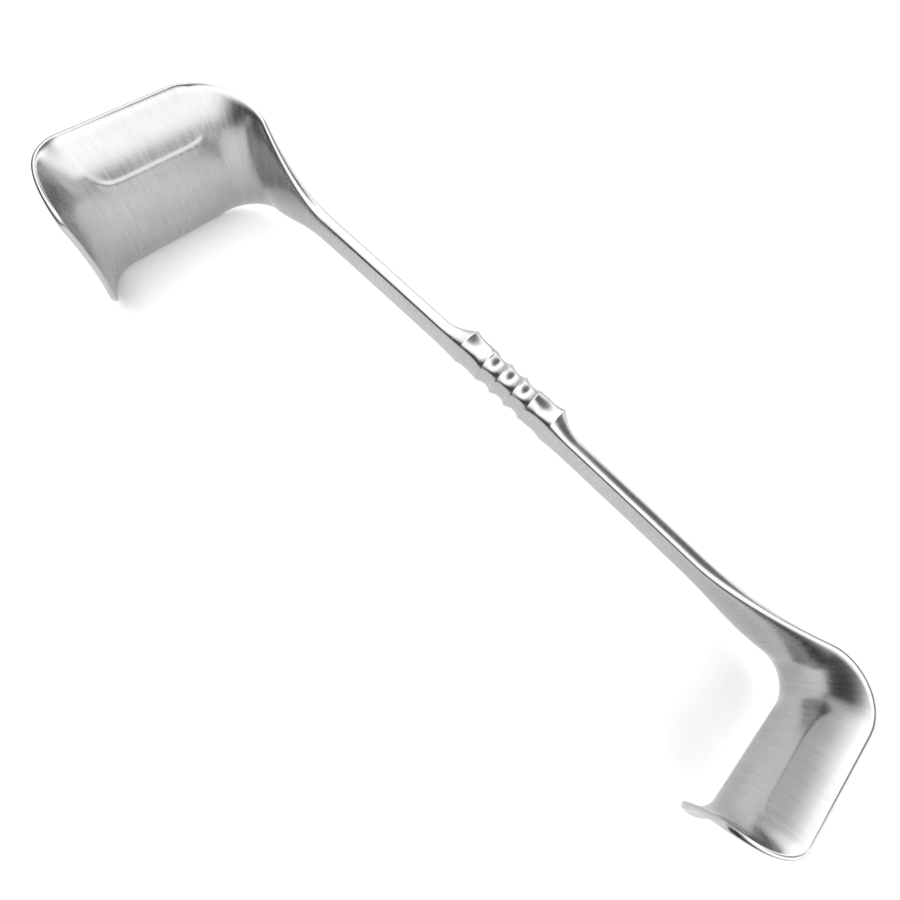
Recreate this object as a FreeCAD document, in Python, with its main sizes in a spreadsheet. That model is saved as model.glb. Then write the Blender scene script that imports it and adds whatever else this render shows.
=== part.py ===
import FreeCAD, Part
import math
import os
import Sketcher

# Handheld surgical retractor, forged in one piece: a slim bowed bar with a ridged grip
# flares at each end and bends into a saddle-shaped blade whose lip turns back inward.
# Both blades stand on the same side of the bar. It lies on its side: X runs along the bar,
# -Y is the way the blades reach, Z is the way across the blades. Millimetres and degrees.

os.makedirs("parts", exist_ok=True)
doc = FreeCAD.newDocument("retractor")
sizes = doc.addObject("Spreadsheet::Sheet", "Sizes")
SIDES = {"left": -1, "right": 1}
ROWS = {"next": 1}


def set_cell(name, content):
    """One named row of the sheet: a plain size, or a formula that starts with =."""
    row = ROWS["next"]
    ROWS["next"] = row + 1
    sizes.set("A%d" % row, name)
    sizes.set("B%d" % row, content)
    sizes.setAlias("B%d" % row, name)


DRIVING_SIZES = {
    # grip: sharp ridges all round, with a hollow between each pair
    "ridge_count": 4,
    "ridge_pitch": 6.4,
    "ridge_width": 14.4,
    "ridge_thickness": 10.4,
    "ridge_lift": 2.4,
    "hollow_depth": 1.1,
    # shoulders: the corners on the outer side where the grip ends
    "shoulder_gap": 9.4,
    "shoulder_width": 14.2,
    "shoulder_thickness": 9.8,
    "shoulder_lift": 2.6,
    "shoulder_taper": 10,
    # bar: a flat oval section on one long arc
    "bar_width": 10.4,
    "bar_thickness": 4.7,
    "bar_crown": 60,
    "bow_radius": 3800,
    # the long edges are arcs: how far each turns to either side of its middle
    "bar_edge_bulge": 60,
    "blade_edge_bulge": 36,
    # blades: lengths are those of the middle surface
    "blade_thickness": 1.8,
    "lip_edge_roundness": 0.95,
    "left_reach": 123.4,
    "left_bend_radius": 10,
    "left_bend_angle": 90,
    "left_depth": 64.6,
    "left_lip_radius": 15,
    "left_lip_turn": 70,
    "left_width": 50.4,
    "left_arch_radius": 39,
    "left_lip_arch_radius": 160,
    "left_flare": 31.5,
    "left_flare_tail": 5,
    "left_corner_length": 14,
    "left_corner_inset": 14,
    "right_reach": 124.6,
    "right_bend_radius": 8,
    "right_bend_angle": 94,
    "right_depth": 51.2,
    "right_lip_radius": 8.8,
    "right_lip_turn": 72,
    "right_width": 31.6,
    "right_arch_radius": 19,
    "right_lip_arch_radius": 70,
    "right_flare": 38.6,
    "right_flare_tail": 1.5,
    "right_corner_length": 12.5,
    "right_corner_inset": 10.5,
}


def set_driving_sizes():
    for name, size in DRIVING_SIZES.items():
        set_cell(name, str(size))
    set_cell("grip_half", "=ridge_pitch * (ridge_count - 1) / 2")
    set_cell("shoulder_run", "=grip_half + shoulder_gap")
    set_cell("taper_run", "=shoulder_run + shoulder_taper")


def set_side_lengths(side):
    """Lengths along the middle surface of one side, worked out from the driving sizes."""
    formulas = {
        "bow_angle": "asin(({0}_reach - grip_half - {0}_bend_radius * sin({0}_bend_angle))"
                     " / (bow_radius - {0}_bend_radius)) / 1deg",
        "bar_length": "grip_half + bow_radius * {0}_bow_angle * pi / 180",
        "bend_length": "{0}_bend_radius * ({0}_bend_angle - {0}_bow_angle) * pi / 180",
        "lip_length": "{0}_lip_radius * {0}_lip_turn * pi / 180",
        "straight": "({0}_depth - {0}_bend_radius * (cos({0}_bow_angle) - cos({0}_bend_angle))"
                    " - {0}_lip_radius * (cos({0}_bend_angle) - cos({0}_bend_angle + {0}_lip_turn)))"
                    " / sin({0}_bend_angle)",
        "total": "{0}_bar_length + {0}_bend_length + {0}_straight + {0}_lip_length",
        "widening": "{0}_flare + {0}_bend_length + {0}_flare_tail",
        "tip_length": "max({0}_lip_length; {0}_corner_length)",
        "face_start": "{0}_bar_length + {0}_bend_length",
        "face_length": "{0}_total - {0}_tip_length - {0}_face_start",
    }
    for name, formula in formulas.items():
        set_cell("%s_%s" % (side, name), "=" + formula.format(side))


def set_station_place(side, name, run):
    """Where the mid-surface is, and how far it has turned, at a run from the grip centre."""
    at = "%s_%s" % (side, name)
    formulas = {
        "run": run,
        "bow_turn": "max(0; min({at}_run; {side}_bar_length) - grip_half) / bow_radius * 180 / pi",
        "bend_run": "max(0; min({at}_run - {side}_bar_length; {side}_bend_length))",
        "bend_turn": "{side}_bow_angle + {at}_bend_run / {side}_bend_radius * 180 / pi",
        "flat_run": "max(0; min({at}_run - {side}_bar_length - {side}_bend_length; {side}_straight))",
        "lip_run": "max(0; {at}_run - {side}_total + {side}_lip_length)",
        "lip_turn": "{at}_lip_run / {side}_lip_radius * 180 / pi",
        "along": "min({at}_run; grip_half) + bow_radius * sin({at}_bow_turn)"
                 " + {side}_bend_radius * (sin({at}_bend_turn) - sin({side}_bow_angle))"
                 " + {at}_flat_run * cos({side}_bend_angle)"
                 " + {side}_lip_radius * (sin({side}_bend_angle + {at}_lip_turn) - sin({side}_bend_angle))",
        "out": "bow_radius * (cos({at}_bow_turn) - 1)"
               " - {side}_bend_radius * (cos({side}_bow_angle) - cos({at}_bend_turn))"
               " - {at}_flat_run * sin({side}_bend_angle)"
               " - {side}_lip_radius * (cos({side}_bend_angle) - cos({side}_bend_angle + {at}_lip_turn))",
        "turn": "{at}_bow_turn + {at}_bend_turn - {side}_bow_angle + {at}_lip_turn",
    }
    for key, formula in formulas.items():
        set_cell("%s_%s" % (at, key), "=" + formula.format(at=at, side=side))


def set_station_section(side, name, width, thickness, crown, lift, bulge="bar_edge_bulge"):
    """The section there: its width, its thickness, the radius it is arched to, its lift, and
    how far its edges bulge."""
    at = "%s_%s" % (side, name)
    formulas = {
        "width": width,
        "thickness": thickness,
        "crown": crown,
        "lift": lift,
        "bulge": bulge,
        "half": "({at}_width - {at}_thickness * tan({at}_bulge / 2)) / 2",
        "centre": "{at}_lift + {at}_crown",
        "inner_radius": "{at}_crown + {at}_thickness / 2",
        "outer_radius": "{at}_crown - {at}_thickness / 2",
        "inner_end": "{at}_half * {at}_inner_radius / {at}_crown",
        "outer_end": "{at}_half * {at}_outer_radius / {at}_crown",
        "edge_radius": "{at}_thickness / 2 / sin({at}_bulge)",
    }
    for key, formula in formulas.items():
        set_cell("%s_%s" % (at, key), "=" + formula.format(at=at))


def set_blade_station(side, name, run):
    """A station from the start of the flare to the tip: the bar widens, thins and arches; over
    the lip it flattens again, its corners are a quarter circle and its edge a half ellipse."""
    set_station_place(side, name, run)
    at = "%s_%s" % (side, name)
    formulas = {
        "share": "max(0; min(1; ({at}_run - {side}_bar_length + {side}_flare) / {side}_widening))",
        "grown": "{at}_share ^ 2 * (3 - 2 * {at}_share)",
        "lip_share": "{at}_lip_run / {side}_lip_length",
        "flattened": "{at}_lip_share ^ 2 * (3 - 2 * {at}_lip_share)",
        "rounding": "max(0; 1 - ({side}_total - {at}_run) / {side}_corner_length)",
        "edge": "max(0; 1 - ({side}_total - {at}_run) * 2 / blade_thickness) * lip_edge_roundness",
    }
    for key, formula in formulas.items():
        set_cell("%s_%s" % (at, key), "=" + formula.format(at=at, side=side))
    set_station_section(
        side, name,
        "bar_width + ({0}_width - bar_width) * {1}_grown"
        " - 2 * {0}_corner_inset * (1 - sqrt(1 - {1}_rounding ^ 2))".format(side, at),
        "(bar_thickness + (blade_thickness - bar_thickness) * {0}_grown)"
        " * sqrt(1 - {0}_edge ^ 2)".format(at),
        "1 / (1 / bar_crown + (1 / {0}_arch_radius - 1 / bar_crown) * {1}_grown"
        " + (1 / {0}_lip_arch_radius - 1 / {0}_arch_radius) * {1}_flattened)".format(side, at),
        "0",
        "bar_edge_bulge + (blade_edge_bulge - bar_edge_bulge) * {0}_grown".format(at))


SECTIONS = {}


def add_section(side, name):
    """A closed sketch square to the mid-surface: two arcs on one centre and an arc at each edge."""
    at = "%s_%s" % (side, name)
    if at in SECTIONS:
        return SECTIONS[at]
    sketch = body.newObject("Sketcher::SketchObject", at)
    sketch.AttachmentSupport = [(cross_plane, "")]
    sketch.MapMode = "FlatFace"
    sketch.setExpression(
        "AttachmentOffset",
        "placement(vector(Sizes.{0}_out; 0; {1} * Sizes.{0}_along);"
        " rotation(vector(0; 1; 0); {2} * Sizes.{0}_turn))".format(at, SIDES[side], -SIDES[side]))
    half, crown, centre_x, inner_radius, outer_radius, inner_end, outer_end, edge_radius, bulge = [
        float(sizes.get("%s_%s" % (at, key))) for key in (
            "half", "crown", "centre", "inner_radius", "outer_radius",
            "inner_end", "outer_end", "edge_radius", "bulge")]
    spread = math.asin(half / crown)
    bulge = math.radians(bulge)
    edge_back = edge_radius * math.cos(bulge)
    edge_x = centre_x - crown * math.cos(spread) - edge_back * math.sin(spread)
    edge_y = half - edge_back * math.cos(spread)

    def arc(x, y, radius, facing, opening):
        circle = Part.Circle(FreeCAD.Vector(x, y, 0), FreeCAD.Vector(0, 0, 1), radius)
        return sketch.addGeometry(Part.ArcOfCircle(circle, facing - opening, facing + opening))

    inner = arc(centre_x, 0, inner_radius, math.pi, spread)
    outer = arc(centre_x, 0, outer_radius, math.pi, spread)
    top = arc(edge_x, edge_y, edge_radius, math.pi / 2 - spread, bulge)
    bottom = arc(edge_x, -edge_y, edge_radius, spread - math.pi / 2, bulge)
    first, last, middle, axis, origin = 1, 2, 3, -1, 1
    sketch.addConstraint([
        Sketcher.Constraint("Coincident", inner, middle, outer, middle),
        Sketcher.Constraint("PointOnObject", inner, middle, axis),
        Sketcher.Constraint("Coincident", top, last, inner, first),
        Sketcher.Constraint("Coincident", top, first, outer, first),
        Sketcher.Constraint("Coincident", bottom, first, inner, last),
        Sketcher.Constraint("Coincident", bottom, last, outer, last)])
    driven = (
        ("centre", "centre", Sketcher.Constraint("DistanceX", axis, origin, inner, middle, centre_x)),
        ("inner_radius", "inner_radius", Sketcher.Constraint("Radius", inner, inner_radius)),
        ("outer_radius", "outer_radius", Sketcher.Constraint("Radius", outer, outer_radius)),
        ("top_inner", "inner_end", Sketcher.Constraint("DistanceY", axis, origin, inner, first, inner_end)),
        ("top_outer", "outer_end", Sketcher.Constraint("DistanceY", axis, origin, outer, first, outer_end)),
        ("bottom_inner", "inner_end", Sketcher.Constraint("DistanceY", inner, last, axis, origin, inner_end)),
        ("bottom_outer", "outer_end", Sketcher.Constraint("DistanceY", outer, last, axis, origin, outer_end)),
        ("top_edge", "edge_radius", Sketcher.Constraint("Radius", top, edge_radius)),
        ("bottom_edge", "edge_radius", Sketcher.Constraint("Radius", bottom, edge_radius)))
    for label, key, constraint in driven:
        index = sketch.addConstraint(constraint)
        sketch.renameConstraint(index, label)
        sketch.setExpression("Constraints." + label, "Sizes.%s_%s" % (at, key))
    sketch.Visibility = False
    SECTIONS[at] = sketch
    return sketch


def add_loft(name, sections):
    loft = body.newObject("PartDesign::AdditiveLoft", name)
    loft.Profile = sections[0]
    loft.Sections = sections[1:]
    return loft


TURN_STEPS = 9
FACE_STEPS = 6
CORNER_ANGLES = (0, 15, 30, 45, 60, 75, 90)
TAPER_SHARES = (0.3, 0.65, 1)


def blade_stations(side):
    """Evenly spaced over the flare and the bend, then over the face, then closer up to the tip
    over the lip and its corners, as even steps round a quarter circle."""
    turn = "{0}_bar_length - {0}_flare + ({0}_flare + {0}_bend_length) * %d / %d"
    face = "{0}_face_start + {0}_face_length * %d / %d"
    lip = "{0}_total - {0}_tip_length * (1 - sin(%d))"
    stations = [("turn_%d" % step, turn % (step, TURN_STEPS)) for step in range(TURN_STEPS + 1)]
    stations += [("face_%d" % step, face % (step, FACE_STEPS)) for step in range(1, FACE_STEPS)]
    stations += [("lip_%d" % step, lip % angle) for step, angle in enumerate(CORNER_ANGLES)]
    return [(name, run.format(side)) for name, run in stations]


def set_grip_stations(side):
    """Stations from the last ridge to the bar: the ridge, the neck, the shoulder and its taper."""
    shoulder = ("shoulder_width", "shoulder_thickness", "bar_crown", "shoulder_lift")
    bar = ("bar_width", "bar_thickness", "bar_crown", "0")
    neck = ["(%s + %s) / 2" % pair for pair in zip(HOLLOW, shoulder)]
    stations = [
        ("ridge", "grip_half", RIDGE),
        ("neck", "grip_half + shoulder_gap / 2", neck),
        ("shoulder", "shoulder_run", shoulder)]
    for number, share in enumerate(TAPER_SHARES):
        grown = share * (2 - share)
        blend = ["(%s) * %g + (%s) * %g" % (start, 1 - grown, end, grown) for start, end in zip(shoulder, bar)]
        stations.append(("taper_%d" % number, "shoulder_run + %g * shoulder_taper" % share, blend))
    for name, run, section in stations:
        set_station_place(side, name, run)
        set_station_section(side, name, *section)


RIDGE = ("ridge_width", "ridge_thickness", "bar_crown", "ridge_lift")
HOLLOW = ("ridge_width - 2 * hollow_depth", "ridge_thickness - 2 * hollow_depth", "bar_crown", "ridge_lift")


def set_hollow_stations(side):
    """The last hollow of one side and the ridge inside it."""
    for name, run, section in (
            ("hollow", "grip_half - ridge_pitch / 2", HOLLOW),
            ("inner_ridge", "grip_half - ridge_pitch", RIDGE)):
        set_station_place(side, name, run)
        set_station_section(side, name, *section)


set_driving_sizes()
for side in SIDES:
    set_side_lengths(side)
    set_grip_stations(side)
    for name, run in blade_stations(side):
        set_blade_station(side, name, run)
set_hollow_stations("left")
doc.recompute()

body = doc.addObject("PartDesign::Body", "retractor")
body.Label = "retractor"
cross_plane, side_plane, long_axis = [
    [feature for feature in body.Origin.OriginFeatures if feature.Role == role][0]
    for role in ("YZ_Plane", "XY_Plane", "X_Axis")]


def add_hollows():
    """The first hollow between two ridges, repeated along the grip."""
    names = ("ridge", "hollow", "inner_ridge")
    hollow = add_loft("first_hollow", [add_section("left", name) for name in names])
    pattern = body.newObject("PartDesign::LinearPattern", "hollows")
    pattern.Originals = [hollow]
    pattern.Direction = (long_axis, [""])
    pattern.setExpression("Length", "(Sizes.ridge_count - 2) * Sizes.ridge_pitch")
    pattern.setExpression("Occurrences", "Sizes.ridge_count - 1")
    body.Tip = pattern
    doc.recompute()


def add_bow_path(side):
    """The bar's long arc, drawn from the end of the shoulder's taper to the start of the flare."""
    ends = ("%s_taper_%d" % (side, len(TAPER_SHARES) - 1), side + "_turn_0")
    sign = SIDES[side]
    centre_x, radius = sign * float(sizes.grip_half), float(sizes.bow_radius)
    angles = sorted(math.pi / 2 - sign * math.radians(float(sizes.get(end + "_bow_turn"))) for end in ends)
    path = body.newObject("Sketcher::SketchObject", side + "_bow")
    path.AttachmentSupport = [(side_plane, "")]
    path.MapMode = "FlatFace"
    circle = Part.Circle(FreeCAD.Vector(centre_x, -radius, 0), FreeCAD.Vector(0, 0, 1), radius)
    arc = path.addGeometry(Part.ArcOfCircle(circle, *angles))
    first, last, middle, axis, origin = 1, 2, 3, -1, 1
    near, far = (last, first) if sign > 0 else (first, last)
    driven = (
        ("centre_x", Sketcher.Constraint("DistanceX", axis, origin, arc, middle, centre_x),
         "%d * Sizes.grip_half" % sign),
        ("centre_y", Sketcher.Constraint("DistanceY", arc, middle, axis, origin, radius), "Sizes.bow_radius"),
        ("radius", Sketcher.Constraint("Radius", arc, radius), "Sizes.bow_radius"))
    for point, end in zip((near, far), ends):
        along = sign * float(sizes.get(end + "_along"))
        constraint = Sketcher.Constraint("DistanceX", axis, origin, arc, point, along)
        driven += ((end, constraint, "%d * Sizes.%s_along" % (sign, end)),)
    for label, constraint, formula in driven:
        index = path.addConstraint(constraint)
        path.renameConstraint(index, label)
        path.setExpression("Constraints." + label, formula)
    path.Visibility = False
    return path


def add_side(side):
    """One side of the forging, from the last ridge to the tip of the lip."""
    neck = [add_section(side, name) for name in ("ridge", "neck", "shoulder")]
    taper = [add_section(side, "taper_%d" % number) for number in range(len(TAPER_SHARES))]
    blade = [add_section(side, name) for name, run in blade_stations(side)]
    add_loft(side + "_end_hollow", neck)
    add_loft(side + "_grip_taper", neck[-1:] + taper)
    bar = body.newObject("PartDesign::AdditivePipe", side + "_bar")
    bar.Profile = taper[-1]
    bar.Spine = add_bow_path(side)
    add_loft(side + "_blade", blade)
    doc.recompute()


def check_and_export(part, node):
    """Stops on any failed feature or open solid, then writes the node's file."""
    failed = [thing.Name for thing in doc.Objects if {"Invalid", "Error"} & set(thing.State)]
    if failed:
        raise RuntimeError("failed: " + ", ".join(failed))
    if part.Shape.isNull() or not part.Shape.isValid() or len(part.Shape.Solids) != 1:
        raise RuntimeError(node + " is not one valid solid")
    part.Shape.exportStep("parts/%s.step" % node)


add_hollows()
for side in SIDES:
    add_side(side)

# it lies on its side: the origin goes under the middle of its box, at the surface it lies on
box = body.Shape.optimalBoundingBox()
body.Placement.Base = FreeCAD.Vector(-box.Center.x, -box.Center.y, -box.ZMin)
doc.recompute()
check_and_export(body, "retractor")
place = body.Placement.Base
print("origin at %.4f %.4f %.4f" % (place.x, place.y, place.z))
print("box %.2f x %.2f x %.2f" % (box.XLength, box.YLength, box.ZLength))
print("volume %.0f, faces %d" % (body.Shape.Volume, len(body.Shape.Faces)))
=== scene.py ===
import math

import bpy
import numpy as np
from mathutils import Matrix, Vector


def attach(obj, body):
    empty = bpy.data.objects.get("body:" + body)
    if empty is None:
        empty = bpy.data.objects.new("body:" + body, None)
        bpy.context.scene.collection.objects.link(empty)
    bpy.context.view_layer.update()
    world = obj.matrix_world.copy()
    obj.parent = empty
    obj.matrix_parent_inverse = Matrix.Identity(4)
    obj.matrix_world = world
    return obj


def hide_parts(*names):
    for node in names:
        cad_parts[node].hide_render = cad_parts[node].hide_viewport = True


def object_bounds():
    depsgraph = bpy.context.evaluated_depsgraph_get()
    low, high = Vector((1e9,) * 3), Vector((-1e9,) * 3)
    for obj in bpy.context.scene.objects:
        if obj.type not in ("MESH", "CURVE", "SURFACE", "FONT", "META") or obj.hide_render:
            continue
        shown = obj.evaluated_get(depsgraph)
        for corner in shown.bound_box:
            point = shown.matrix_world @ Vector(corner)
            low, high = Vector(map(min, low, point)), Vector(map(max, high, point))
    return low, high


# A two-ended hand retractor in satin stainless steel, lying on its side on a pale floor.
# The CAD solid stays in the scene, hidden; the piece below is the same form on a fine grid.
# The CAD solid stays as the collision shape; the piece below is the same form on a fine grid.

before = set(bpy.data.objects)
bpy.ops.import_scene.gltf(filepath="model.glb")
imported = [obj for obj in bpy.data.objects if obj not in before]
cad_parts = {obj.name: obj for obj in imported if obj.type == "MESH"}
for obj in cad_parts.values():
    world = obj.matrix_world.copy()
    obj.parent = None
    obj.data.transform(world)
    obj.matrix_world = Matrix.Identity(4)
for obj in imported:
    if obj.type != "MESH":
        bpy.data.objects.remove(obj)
cadBox = [list(corner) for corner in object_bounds()]
mm = 0.001

# sizes in millimetres along the middle surface, turns in degrees
# grip: sharp ridges all round, hollows between, a shoulder at each end
grip = {
    "ridges": 4,
    "pitch": 6.4,
    "width": 12.6,
    "thickness": 11.0,
    "lift": 2.1,
    "hollowDepth": 1.5,
    "shoulderGap": 9.4,
    "shoulderWidth": 12.2,
    "shoulderThickness": 10.4,
    "shoulderLift": 2.3,
    "taper": 10.0,
    "ridgeRoundness": 0.8,        # the ridges are rounder than the hollows
    "ridgeSquareness": 0.95,
    "ridgeFade": 2.5,             # how many times faster than the neck the last ridge fades out
    "crestSoftness": 0.1,         # 0 leaves the crests sharp, 1 makes them waves
}

bar = {
    "width": 9.2,
    "thickness": 5.0,
    "crown": 60.0,
    "roundness": 0.55,            # share of the half width that the bar's rounded edges take up
    "squareness": 0.62,           # power of the edge's sine and cosine: 1 is round
    "bowRadius": 3800.0,
    "inside": 0.06,               # how far the finished surface keeps inside the solid's box
}

blades = {
    "left": {
        "sign": -1, "reach": 123.4, "bendRadius": 10.0, "bendAngle": 90.0, "depth": 64.6,
        "lipRadius": 15.0, "lipTurn": 70.0, "width": 51.0, "thickness": 1.8,
        "archRadius": 39.0, "lipArchRadius": 160.0, "flare": 31.5, "flareTail": 5.0,
        "creaseAcross": 11.3, "creaseHeight": 0.26,
        "cornerLength": 14.0, "cornerInset": 14.0,
    },
    "right": {
        "sign": 1, "reach": 124.6, "bendRadius": 8.0, "bendAngle": 94.0, "depth": 51.2,
        "lipRadius": 8.8, "lipTurn": 72.0, "width": 32.4, "thickness": 1.8,
        "archRadius": 19.0, "lipArchRadius": 70.0, "flare": 38.6, "flareTail": 1.5,
        "creaseAcross": 7.4, "creaseHeight": 0.12,
        "cornerLength": 12.5, "cornerInset": 10.5,
    },
}

# the crease on each inner face: its width, how it hooks outward near both ends, and the
# millimetres over which it fades in after the bend and out into the lip
crease = {"width": 0.9, "hook": 0.5, "hookPower": 9, "fadeIn": 6, "fadeOut": 8, "pastFace": 4}

tipBlunt = 0.995        # share of the tip's half round that is drawn, so its last section is not a line
rimWidth = 1.6          # millimetres of edge that are smoother, and lighter in colour as a painted highlight
outerGrainShift = 40    # keeps the grain of the outer face apart from that of the inner

# how finely the surface is laid out: millimetres along
gridSteps = {"grip": 0.25, "bar": 1.4, "turn": 0.6, "pastBend": 2, "face": 0.9, "lip": 0.35}
# and counts: across a face, round an edge, over the tip's round; and how bunched they are across
gridCounts = {"across": 62, "edge": 9, "tip": 12}
bunching = 0.5


def sideLengths(blade):
    # arc lengths of one side: bar, bend, straight face and lip, from the reach, depth and turns
    gripHalf = grip["pitch"] * (grip["ridges"] - 1) / 2
    bend, lip = math.radians(blade["bendAngle"]), math.radians(blade["lipTurn"])
    rb, rl, rw = blade["bendRadius"], blade["lipRadius"], bar["bowRadius"]
    reach, depth = blade["reach"] - bar["inside"], blade["depth"] - bar["inside"]
    bow = math.asin((reach - gripHalf - rb * math.sin(bend)) / (rw - rb))
    straight = (depth - rb * (math.cos(bow) - math.cos(bend))
                - rl * (math.cos(bend) - math.cos(bend + lip))) / math.sin(bend)
    lengths = {"gripHalf": gripHalf, "bow": bow, "bend": bend, "bar": gripHalf + rw * bow,
               "bendRun": rb * (bend - bow), "straight": straight, "lipRun": rl * lip}
    lengths["faceStart"] = lengths["bar"] + lengths["bendRun"]
    lengths["lipStart"] = lengths["faceStart"] + straight
    lengths["total"] = lengths["lipStart"] + lengths["lipRun"]
    return lengths


def midLine(blade, lengths, run):
    # a straight to the last ridge, the bow arc, the bend arc, a straight face and the lip arc,
    # each arc adding its radius times the change of sine or cosine
    rb, rl, rw = blade["bendRadius"], blade["lipRadius"], bar["bowRadius"]
    bowTurn = np.clip(np.minimum(run, lengths["bar"]) - lengths["gripHalf"], 0, None) / rw
    bendTurn = lengths["bow"] + np.clip(run - lengths["bar"], 0, lengths["bendRun"]) / rb
    flat = np.clip(run - lengths["faceStart"], 0, lengths["straight"])
    lipTurn = np.clip(run - lengths["lipStart"], 0, None) / rl
    end = lengths["bend"] + lipTurn
    along = (np.minimum(run, lengths["gripHalf"]) + rw * np.sin(bowTurn)
             + rb * (np.sin(bendTurn) - np.sin(lengths["bow"]))
             + flat * np.cos(lengths["bend"]) + rl * (np.sin(end) - np.sin(lengths["bend"])))
    out = (rw * (np.cos(bowTurn) - 1) - rb * (np.cos(lengths["bow"]) - np.cos(bendTurn))
           - flat * np.sin(lengths["bend"]) - rl * (np.cos(lengths["bend"]) - np.cos(end)))
    return along, out, bowTurn + bendTurn - lengths["bow"] + lipTurn


def smooth(share):
    # eased share: 3 s squared minus 2 s cubed, held between 0 and 1
    share = np.clip(share, 0, 1)
    return share * share * (3 - 2 * share)


def throughThree(share, first, middle, last):
    # parabola through three values at shares 0, a half and 1
    return (first * (1 - share) * (1 - 2 * share) + middle * 4 * share * (1 - share)
            + last * share * (2 * share - 1))


def sectionSizes(blade, lengths, run):
    # width, thickness, lift, arch radius, edge length and squareness of the section at each run
    half, gap, taper = lengths["gripHalf"], grip["shoulderGap"], grip["taper"]
    between = np.mod(run + half, grip["pitch"]) / grip["pitch"]
    wave = np.sin(math.pi * between) ** 2
    hollowShare = 4 * between * (1 - between)
    hollowShare = hollowShare + (wave - hollowShare) * grip["crestSoftness"]
    hollow = hollowShare * grip["hollowDepth"] * 2
    gapShare = np.clip((run - half) / gap, 0, 1)
    taperShare = np.clip((run - half - gap) / taper, 0, 1)
    taperShare = taperShare * (2 - taperShare)
    grown = smooth((run - lengths["bar"] + blade["flare"])
                   / (blade["flare"] + lengths["bendRun"] + blade["flareTail"]))
    flattened = smooth((run - lengths["lipStart"]) / lengths["lipRun"])

    def alongGrip(ridge, shoulder, plain, depth):
        neck = throughThree(gapShare, ridge, (ridge - 2 * depth + shoulder) / 2, shoulder)
        body = np.where(run < half, ridge - hollow * (depth > 0), neck)
        return np.where(run < half + gap, body, shoulder + (plain - shoulder) * taperShare)

    depth = grip["hollowDepth"]
    width = alongGrip(grip["width"], grip["shoulderWidth"], bar["width"], depth)
    thickness = alongGrip(grip["thickness"], grip["shoulderThickness"], bar["thickness"], depth)
    lift = alongGrip(grip["lift"], grip["shoulderLift"], 0, 0)
    width = width + (blade["width"] - 2 * bar["inside"] - bar["width"]) * grown
    thickness = thickness + (blade["thickness"] - bar["thickness"]) * grown
    corner = np.clip(1 - (lengths["total"] - run) / blade["cornerLength"], 0, 1)
    width = width - 2 * blade["cornerInset"] * (1 - np.sqrt(1 - corner ** 2))
    tip = np.clip(1 - (lengths["total"] - run) * 2 / blade["thickness"], 0, 1)
    thickness = thickness * np.sqrt(1 - (tipBlunt * tip) ** 2)
    arch = (1 / bar["crown"] + (1 / blade["archRadius"] - 1 / bar["crown"]) * grown
            + (1 / blade["lipArchRadius"] - 1 / blade["archRadius"]) * flattened)
    ridge = np.where(run < half, 1 - hollowShare, 1 - smooth(gapShare * grip["ridgeFade"]))
    roundness = bar["roundness"] + (grip["ridgeRoundness"] - bar["roundness"]) * ridge
    edge = (1 - grown) * roundness * width / 2 + grown * thickness / 2
    square = bar["squareness"] + (1 - bar["squareness"]) * grown
    square = square + (grip["ridgeSquareness"] - square) * ridge
    return width, thickness, lift, 1 / arch, np.maximum(edge, thickness / 2), square


def sectionLoop():
    # places round a section: share across from -1 to 1, bulge past the face's end and offset,
    # two long faces joined by half-round edges
    across = np.linspace(-1, 1, gridCounts["across"])
    # closer together at the middle, half way out and at the edges
    across = across - bunching * np.sin(4 * math.pi * across) / (4 * math.pi)
    turn = np.linspace(0, math.pi, gridCounts["edge"] + 2)[1:-1]
    flat = np.concatenate([across, np.ones(len(turn)), -across, -np.ones(len(turn))])
    edge = np.concatenate([across * 0, np.sin(turn), across * 0, -np.sin(turn)])
    offset = np.concatenate([across * 0 - 1, -np.cos(turn), across * 0 + 1, np.cos(turn)])
    return flat, edge, offset


def sideRuns(lengths, blade):
    # runs from the grip's middle to the tip, close together on ridges, bend and lip
    half, gap, taper = lengths["gripHalf"], grip["shoulderGap"], grip["taper"]
    flareStart = lengths["bar"] - blade["flare"]
    turnEnd = lengths["faceStart"] + gridSteps["pastBend"]
    tipStart = lengths["total"] - max(lengths["lipRun"], blade["cornerLength"])
    stretches = [
        (0, half + gap + taper, gridSteps["grip"]),
        (half + gap + taper, flareStart, gridSteps["bar"]),
        (flareStart, turnEnd, gridSteps["turn"]),
        (turnEnd, tipStart, gridSteps["face"]),
        (tipStart, lengths["total"] - blade["thickness"], gridSteps["lip"]),
    ]
    runs = [np.linspace(a, b, max(2, round((b - a) / step)), endpoint=False)
            for a, b, step in stretches]
    last = np.linspace(0, math.pi / 2, gridCounts["tip"])
    runs.append(lengths["total"] - blade["thickness"] * (1 - np.sin(last)))
    return np.concatenate(runs)


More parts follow.
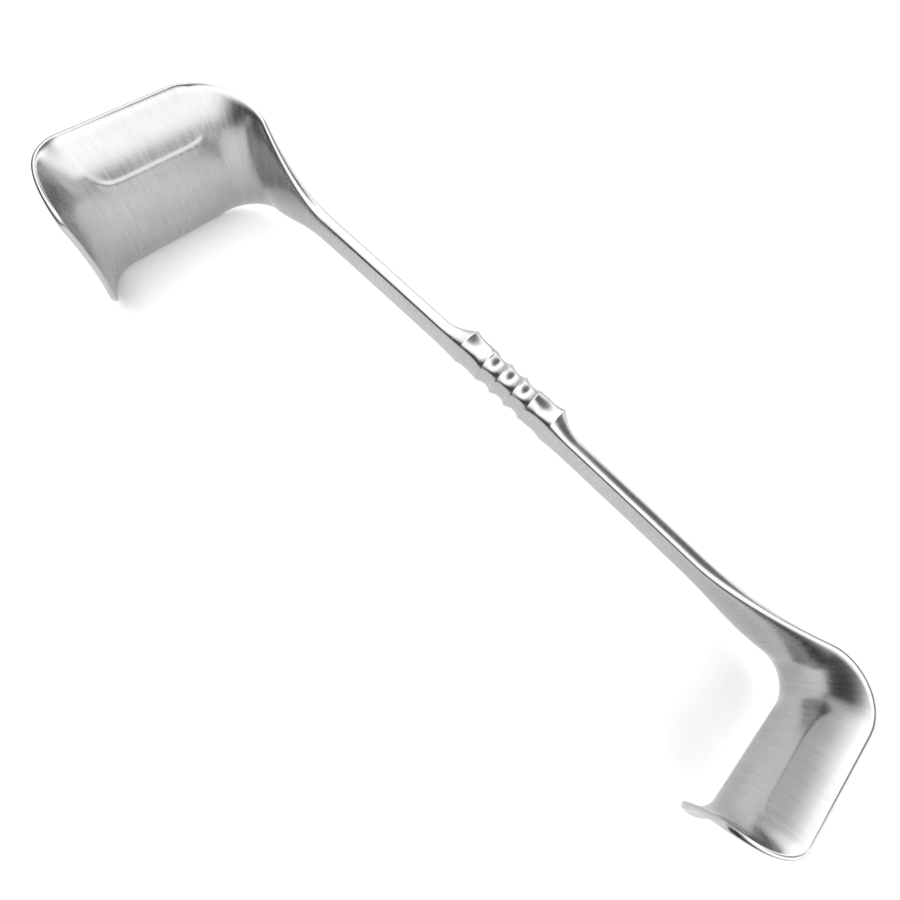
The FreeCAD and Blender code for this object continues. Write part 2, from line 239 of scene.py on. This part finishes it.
def sideSurface(blade):
    # grid of points of one side, its own coordinates (run and way across in millimetres)
    # and a mask of its rim
    lengths = sideLengths(blade)
    run = sideRuns(lengths, blade)
    along, out, turn = midLine(blade, lengths, run)
    width, thickness, lift, crown, rounded, square = (
        size[:, None] for size in sectionSizes(blade, lengths, run))
    flat, edge, offset = sectionLoop()
    spread = np.arcsin((width / 2 - rounded) / crown)
    angle = spread * flat
    bulge = rounded * np.sign(edge) * np.abs(edge) ** square
    shift = np.sign(offset) * np.abs(offset) ** square * thickness / 2
    # a low crease on the inner face where its hollow meets the flared rims
    share = np.clip((run - lengths["faceStart"]) / lengths["straight"], 0, 1)[:, None]
    creaseAt = blade["creaseAcross"] * (1 + crease["hook"] * np.abs(2 * share - 1) ** crease["hookPower"])
    creased = np.exp(-((np.abs(crown * angle) - creaseAt) / crease["width"]) ** 2)
    fade = (smooth((run - lengths["faceStart"]) / crease["fadeIn"])
            * smooth((lengths["lipStart"] + crease["pastFace"] - run) / crease["fadeOut"]))
    shift = shift - creased * (offset < 0) * blade["creaseHeight"] * fade[:, None]
    # the edge stands square to the end of the face, so its bulge runs along the face there
    p = lift + crown - (crown - shift) * np.cos(angle) + np.abs(bulge) * np.sin(spread)
    z = (crown - shift) * np.sin(angle) + bulge * np.cos(spread)
    x = blade["sign"] * (along[:, None] + p * np.sin(turn)[:, None])
    y = out[:, None] + p * np.cos(turn)[:, None]
    points = np.stack([x, y, z], axis=2)
    wayAcross = crown * angle + bulge
    # rim mask: edges made smoother, and lighter in colour as a painted highlight
    rim = np.clip((np.abs(wayAcross) - width / 2 + rimWidth) / rimWidth, 0, 1) ** 2
    tipRim = np.clip(1 - (lengths["total"] - run) / rimWidth, 0, 1) ** 2
    rim = np.maximum(rim, tipRim[:, None])
    grainAlong = blade["sign"] * np.repeat(run[:, None], len(flat), 1)
    uv = np.stack([grainAlong, wayAcross + offset * outerGrainShift], axis=2)
    return points, uv, rim


def closedGrid(rows, around):
    # faces of a grid that is closed round its sections and sealed at both ends
    i, j = np.meshgrid(np.arange(rows - 1), np.arange(around), indexing="ij")
    k = (j + 1) % around
    near, far = i * around, (i + 1) * around
    quads = np.stack([near + j, near + k, far + k, far + j], axis=2).reshape(-1, 4)
    low = np.arange(around // 2 - 1)
    high = around - 1 - low
    cap = np.stack([low, high, high - 1, low + 1], axis=1)
    return np.concatenate([quads, cap, cap[:, ::-1] + (rows - 1) * around])


def buildSteel():
    # the whole forging, left tip to grip to right tip, as one closed surface
    leftPoints, leftUv, leftRim = sideSurface(blades["left"])
    rightPoints, rightUv, rightRim = sideSurface(blades["right"])
    points = np.concatenate([leftPoints[::-1], rightPoints[1:]])
    uv = np.concatenate([leftUv[::-1], rightUv[1:]])
    rim = np.concatenate([leftRim[::-1], rightRim[1:]])
    rows, around = points.shape[:2]
    # start each loop in the middle of an edge, so the end caps run straight across
    start = gridCounts["across"] + gridCounts["edge"] // 2
    points, uv, rim = (np.roll(grid, -start, axis=1) for grid in (points, uv, rim))
    points = points.reshape(-1, 3) * mm
    middle = (points.min(0) + points.max(0)) / 2
    points += (np.array(cadBox[0]) + np.array(cadBox[1])) / 2 - middle
    faces = closedGrid(rows, around)
    corners = points[faces]
    # six times the volume, from the two triangles of each face; negative if they look inward
    volume = np.einsum("ij,ij->i", corners[:, 0], np.cross(corners[:, 1], corners[:, 2])).sum()
    volume += np.einsum("ij,ij->i", corners[:, 0], np.cross(corners[:, 2], corners[:, 3])).sum()
    if volume < 0:
        faces = faces[:, ::-1]
    mesh = bpy.data.meshes.new("retractorSteel")
    mesh.from_pydata(points, [], faces)
    mesh.validate()
    mesh.update()
    order = np.empty(len(mesh.loops), dtype=np.int32)
    mesh.loops.foreach_get("vertex_index", order)
    layer = mesh.uv_layers.new(name="grain")
    layer.data.foreach_set("uv", uv.reshape(-1, 2)[order].astype(np.float32).ravel())
    mask = mesh.attributes.new("rim", "FLOAT", "POINT")
    mask.data.foreach_set("value", rim.reshape(-1).astype(np.float32))
    mesh.shade_smooth()
    piece = bpy.data.objects.new("retractorSteel", mesh)
    bpy.context.scene.collection.objects.link(piece)
    cubed = abs(volume) / 6 / mm ** 3
    print("steel: %d points, %d faces, volume %.1f mm3" % (len(points), len(faces), cubed))
    return piece


# finish: satin steel brushed across its width
steel = {
    "tone": 0.40,
    "roughness": 0.26,
    "grainFine": (5.0, 0.12),     # noise scale per millimetre, along and across
    "grainCoarse": (0.9, 0.05),
    "cloud": (0.05, 0.07),
    "noiseRange": (0.3, 0.7),     # the values that a noise mostly keeps between
    "fineTone": 0.035,            # how much each noise and the rim add to tone and roughness; the rim's added tone is a painted highlight
    "coarseTone": 0.02,
    "cloudTone": 0.02,
    # the rim's added tone is a painted highlight along the edges
    "rimPaintedHighlight": 0.04,
    "cloudRoughness": 0.03,
    "coarseRoughness": 0.03,
    "rimSmoothness": 0.08,
    "blue": 1.005,                # a trace of blue in the grey
    "grainStrength": 0.35,
    "grainDepth": 0.006,          # millimetres
}


def makeSteel():
    material = bpy.data.materials.new("satinSteel")
    material.use_nodes = True
    nodes, links = material.node_tree.nodes, material.node_tree.links
    shader = nodes["Principled BSDF"]
    shader.inputs["Metallic"].default_value = 1.0
    grainMap = nodes.new("ShaderNodeUVMap")
    grainMap.uv_map = "grain"

    def noise(scale, detail, rough, name):
        mapping = nodes.new("ShaderNodeMapping")
        mapping.inputs["Scale"].default_value = (scale[0], scale[1], 1)
        links.new(grainMap.outputs["UV"], mapping.inputs["Vector"])
        texture = nodes.new("ShaderNodeTexNoise")
        texture.name = name
        texture.inputs["Scale"].default_value = 1.0
        texture.inputs["Detail"].default_value = detail
        texture.inputs["Roughness"].default_value = rough
        links.new(mapping.outputs["Vector"], texture.inputs["Vector"])
        return texture.outputs["Fac"]

    fine = noise(steel["grainFine"], 5, 0.65, "fineGrain")
    coarse = noise(steel["grainCoarse"], 3, 0.5, "coarseGrain")
    cloud = noise(steel["cloud"], 3, 0.5, "cloud")
    rim = nodes.new("ShaderNodeAttribute")
    rim.attribute_name = "rim"

    def ranged(value, spread, middle=0.0):
        # a noise stretched to middle less spread, up to middle plus spread
        node = nodes.new("ShaderNodeMapRange")
        node.inputs["From Min"].default_value, node.inputs["From Max"].default_value = steel["noiseRange"]
        node.inputs["To Min"].default_value = middle - spread
        node.inputs["To Max"].default_value = middle + spread
        links.new(value, node.inputs["Value"])
        return node.outputs["Result"]

    def combine(kind, a, b):
        node = nodes.new("ShaderNodeMath")
        node.operation = kind
        for socket, value in zip(node.inputs, (a, b)):
            if isinstance(value, float):
                socket.default_value = value
            else:
                links.new(value, socket)
        return node.outputs["Value"]

    tone = combine("ADD", ranged(fine, steel["fineTone"]), ranged(coarse, steel["coarseTone"]))
    tone = combine("ADD", tone, ranged(cloud, steel["cloudTone"], steel["tone"]))
    # the edges lightened in colour: a painted highlight
    tone = combine("ADD", tone, combine("MULTIPLY", rim.outputs["Fac"], steel["rimPaintedHighlight"]))
    colour = nodes.new("ShaderNodeCombineColor")
    links.new(tone, colour.inputs["Red"])
    links.new(tone, colour.inputs["Green"])
    links.new(combine("MULTIPLY", tone, steel["blue"]), colour.inputs["Blue"])
    links.new(colour.outputs["Color"], shader.inputs["Base Color"])

    rough = combine("ADD", ranged(cloud, steel["cloudRoughness"], steel["roughness"]),
                    ranged(coarse, steel["coarseRoughness"]))
    smoother = combine("MULTIPLY", rim.outputs["Fac"], steel["rimSmoothness"])
    rough = combine("SUBTRACT", rough, smoother)
    links.new(rough, shader.inputs["Roughness"])

    bump = nodes.new("ShaderNodeBump")
    bump.inputs["Strength"].default_value = steel["grainStrength"]
    bump.inputs["Distance"].default_value = steel["grainDepth"] * mm
    links.new(combine("ADD", fine, coarse), bump.inputs["Height"])
    links.new(bump.outputs["Normal"], shader.inputs["Normal"])
    print("steel finish made")
    return material


# room: a pale floor, a bright dome leaning one way, the photograph's camera
room = {
    "floorSize": 6.0,
    "floorTone": 0.88,
    "floorRoughness": 0.9,
    "dark": 0.07,                 # how bright the room is away from the light
    "light": 2.4,                 # how much the bright dome adds
    "lean": (0.45, 0.38, 1.0),    # the way the dome leans, and where it starts and is full
    "start": 0.05,
    "full": 0.75,
    "horizon": 0.2,               # height over which the dome fades in above the floor
    "spot": (0.31, 0.59, 0.75),   # the dark patch overhead, and its reach in degrees
    "spotInner": 11.0,
    "spotOuter": 33.0,
    "spotDepth": 0.92,
    "fill": (-0.86, 0.50, 0.05),  # a soft grey wall low on the other side
    "fillInner": 15.0,
    "fillOuter": 48.0,
    "fillLight": 0.9,
}

camera = {
    "place": (0.02093, -0.05444, 0.16629),
    "turn": (20.494, -9.942, 43.318),    # degrees
    "lens": 20.1,                        # millimetres, as is the sensor
    "sensor": 36.0,
    "nearest": 0.01,
}


def makeFloor():
    mesh = bpy.data.meshes.new("floor")
    half = room["floorSize"] / 2
    corners = [(-half, -half, 0), (half, -half, 0), (half, half, 0), (-half, half, 0)]
    mesh.from_pydata(corners, [], [(0, 1, 2, 3)])
    floor = bpy.data.objects.new("floor", mesh)
    bpy.context.scene.collection.objects.link(floor)
    material = bpy.data.materials.new("paleFloor")
    material.use_nodes = True
    shader = material.node_tree.nodes["Principled BSDF"]
    shader.inputs["Base Color"].default_value = (room["floorTone"],) * 3 + (1,)
    shader.inputs["Roughness"].default_value = room["floorRoughness"]
    mesh.materials.append(material)


def makeLights():
    # the world alone lights the part: its strength depends on the direction
    world = bpy.data.worlds.new("studio")
    bpy.context.scene.world = world
    world.use_nodes = True
    nodes, links = world.node_tree.nodes, world.node_tree.links
    direction = nodes.new("ShaderNodeTexCoord").outputs["Generated"]

    def towards(way, low, high, amount):
        # eased ramp of how far a direction leans towards a given way
        facing = nodes.new("ShaderNodeVectorMath")
        facing.operation = "DOT_PRODUCT"
        facing.inputs[1].default_value = way
        links.new(direction, facing.inputs[0])
        ramp = nodes.new("ShaderNodeMapRange")
        ramp.interpolation_type = "SMOOTHSTEP"
        ramp.inputs["From Min"].default_value = low
        ramp.inputs["From Max"].default_value = high
        ramp.inputs["To Min"].default_value, ramp.inputs["To Max"].default_value = amount
        links.new(facing.outputs["Value"], ramp.inputs["Value"])
        return ramp.outputs["Result"]

    def joined(kind, first, second):
        node = nodes.new("ShaderNodeMath")
        node.operation = kind
        links.new(first, node.inputs[0])
        if isinstance(second, float):
            node.inputs[1].default_value = second
        else:
            links.new(second, node.inputs[1])
        return node.outputs["Value"]

    dome = towards(room["lean"], room["start"], room["full"], (0.0, room["light"]))
    above = towards((0, 0, 1), 0.0, room["horizon"], (0.0, 1.0))
    inner, outer = (math.cos(math.radians(room[key])) for key in ("spotInner", "spotOuter"))
    spot = towards(room["spot"], outer, inner, (1.0, 1.0 - room["spotDepth"]))
    light = joined("MULTIPLY", joined("MULTIPLY", dome, above), spot)
    nodes["Background"].inputs["Color"].default_value = (1, 1, 1, 1)
    inner, outer = (math.cos(math.radians(room[key])) for key in ("fillInner", "fillOuter"))
    fill = towards(room["fill"], outer, inner, (0.0, room["fillLight"]))
    total = joined("ADD", joined("ADD", light, fill), room["dark"])
    # seen straight on, past the floor's end, the room is plain white
    seen = nodes.new("ShaderNodeLightPath").outputs["Is Camera Ray"]
    total = joined("MAXIMUM", total, seen)
    links.new(total, nodes["Background"].inputs["Strength"])


def makeCamera():
    data = bpy.data.cameras.new("camera")
    data.lens = camera["lens"]
    data.sensor_width = camera["sensor"]
    data.clip_start = camera["nearest"]
    view = bpy.data.objects.new("camera", data)
    view.location = camera["place"]
    view.rotation_euler = [math.radians(angle) for angle in camera["turn"]]
    bpy.context.scene.collection.objects.link(view)
    bpy.context.scene.camera = view


piece = buildSteel()
piece.data.materials.append(makeSteel())
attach(piece, "root")
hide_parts("retractor")
makeFloor()
makeLights()
makeCamera()
bpy.context.scene.view_settings.view_transform = "Standard"
print("room made")
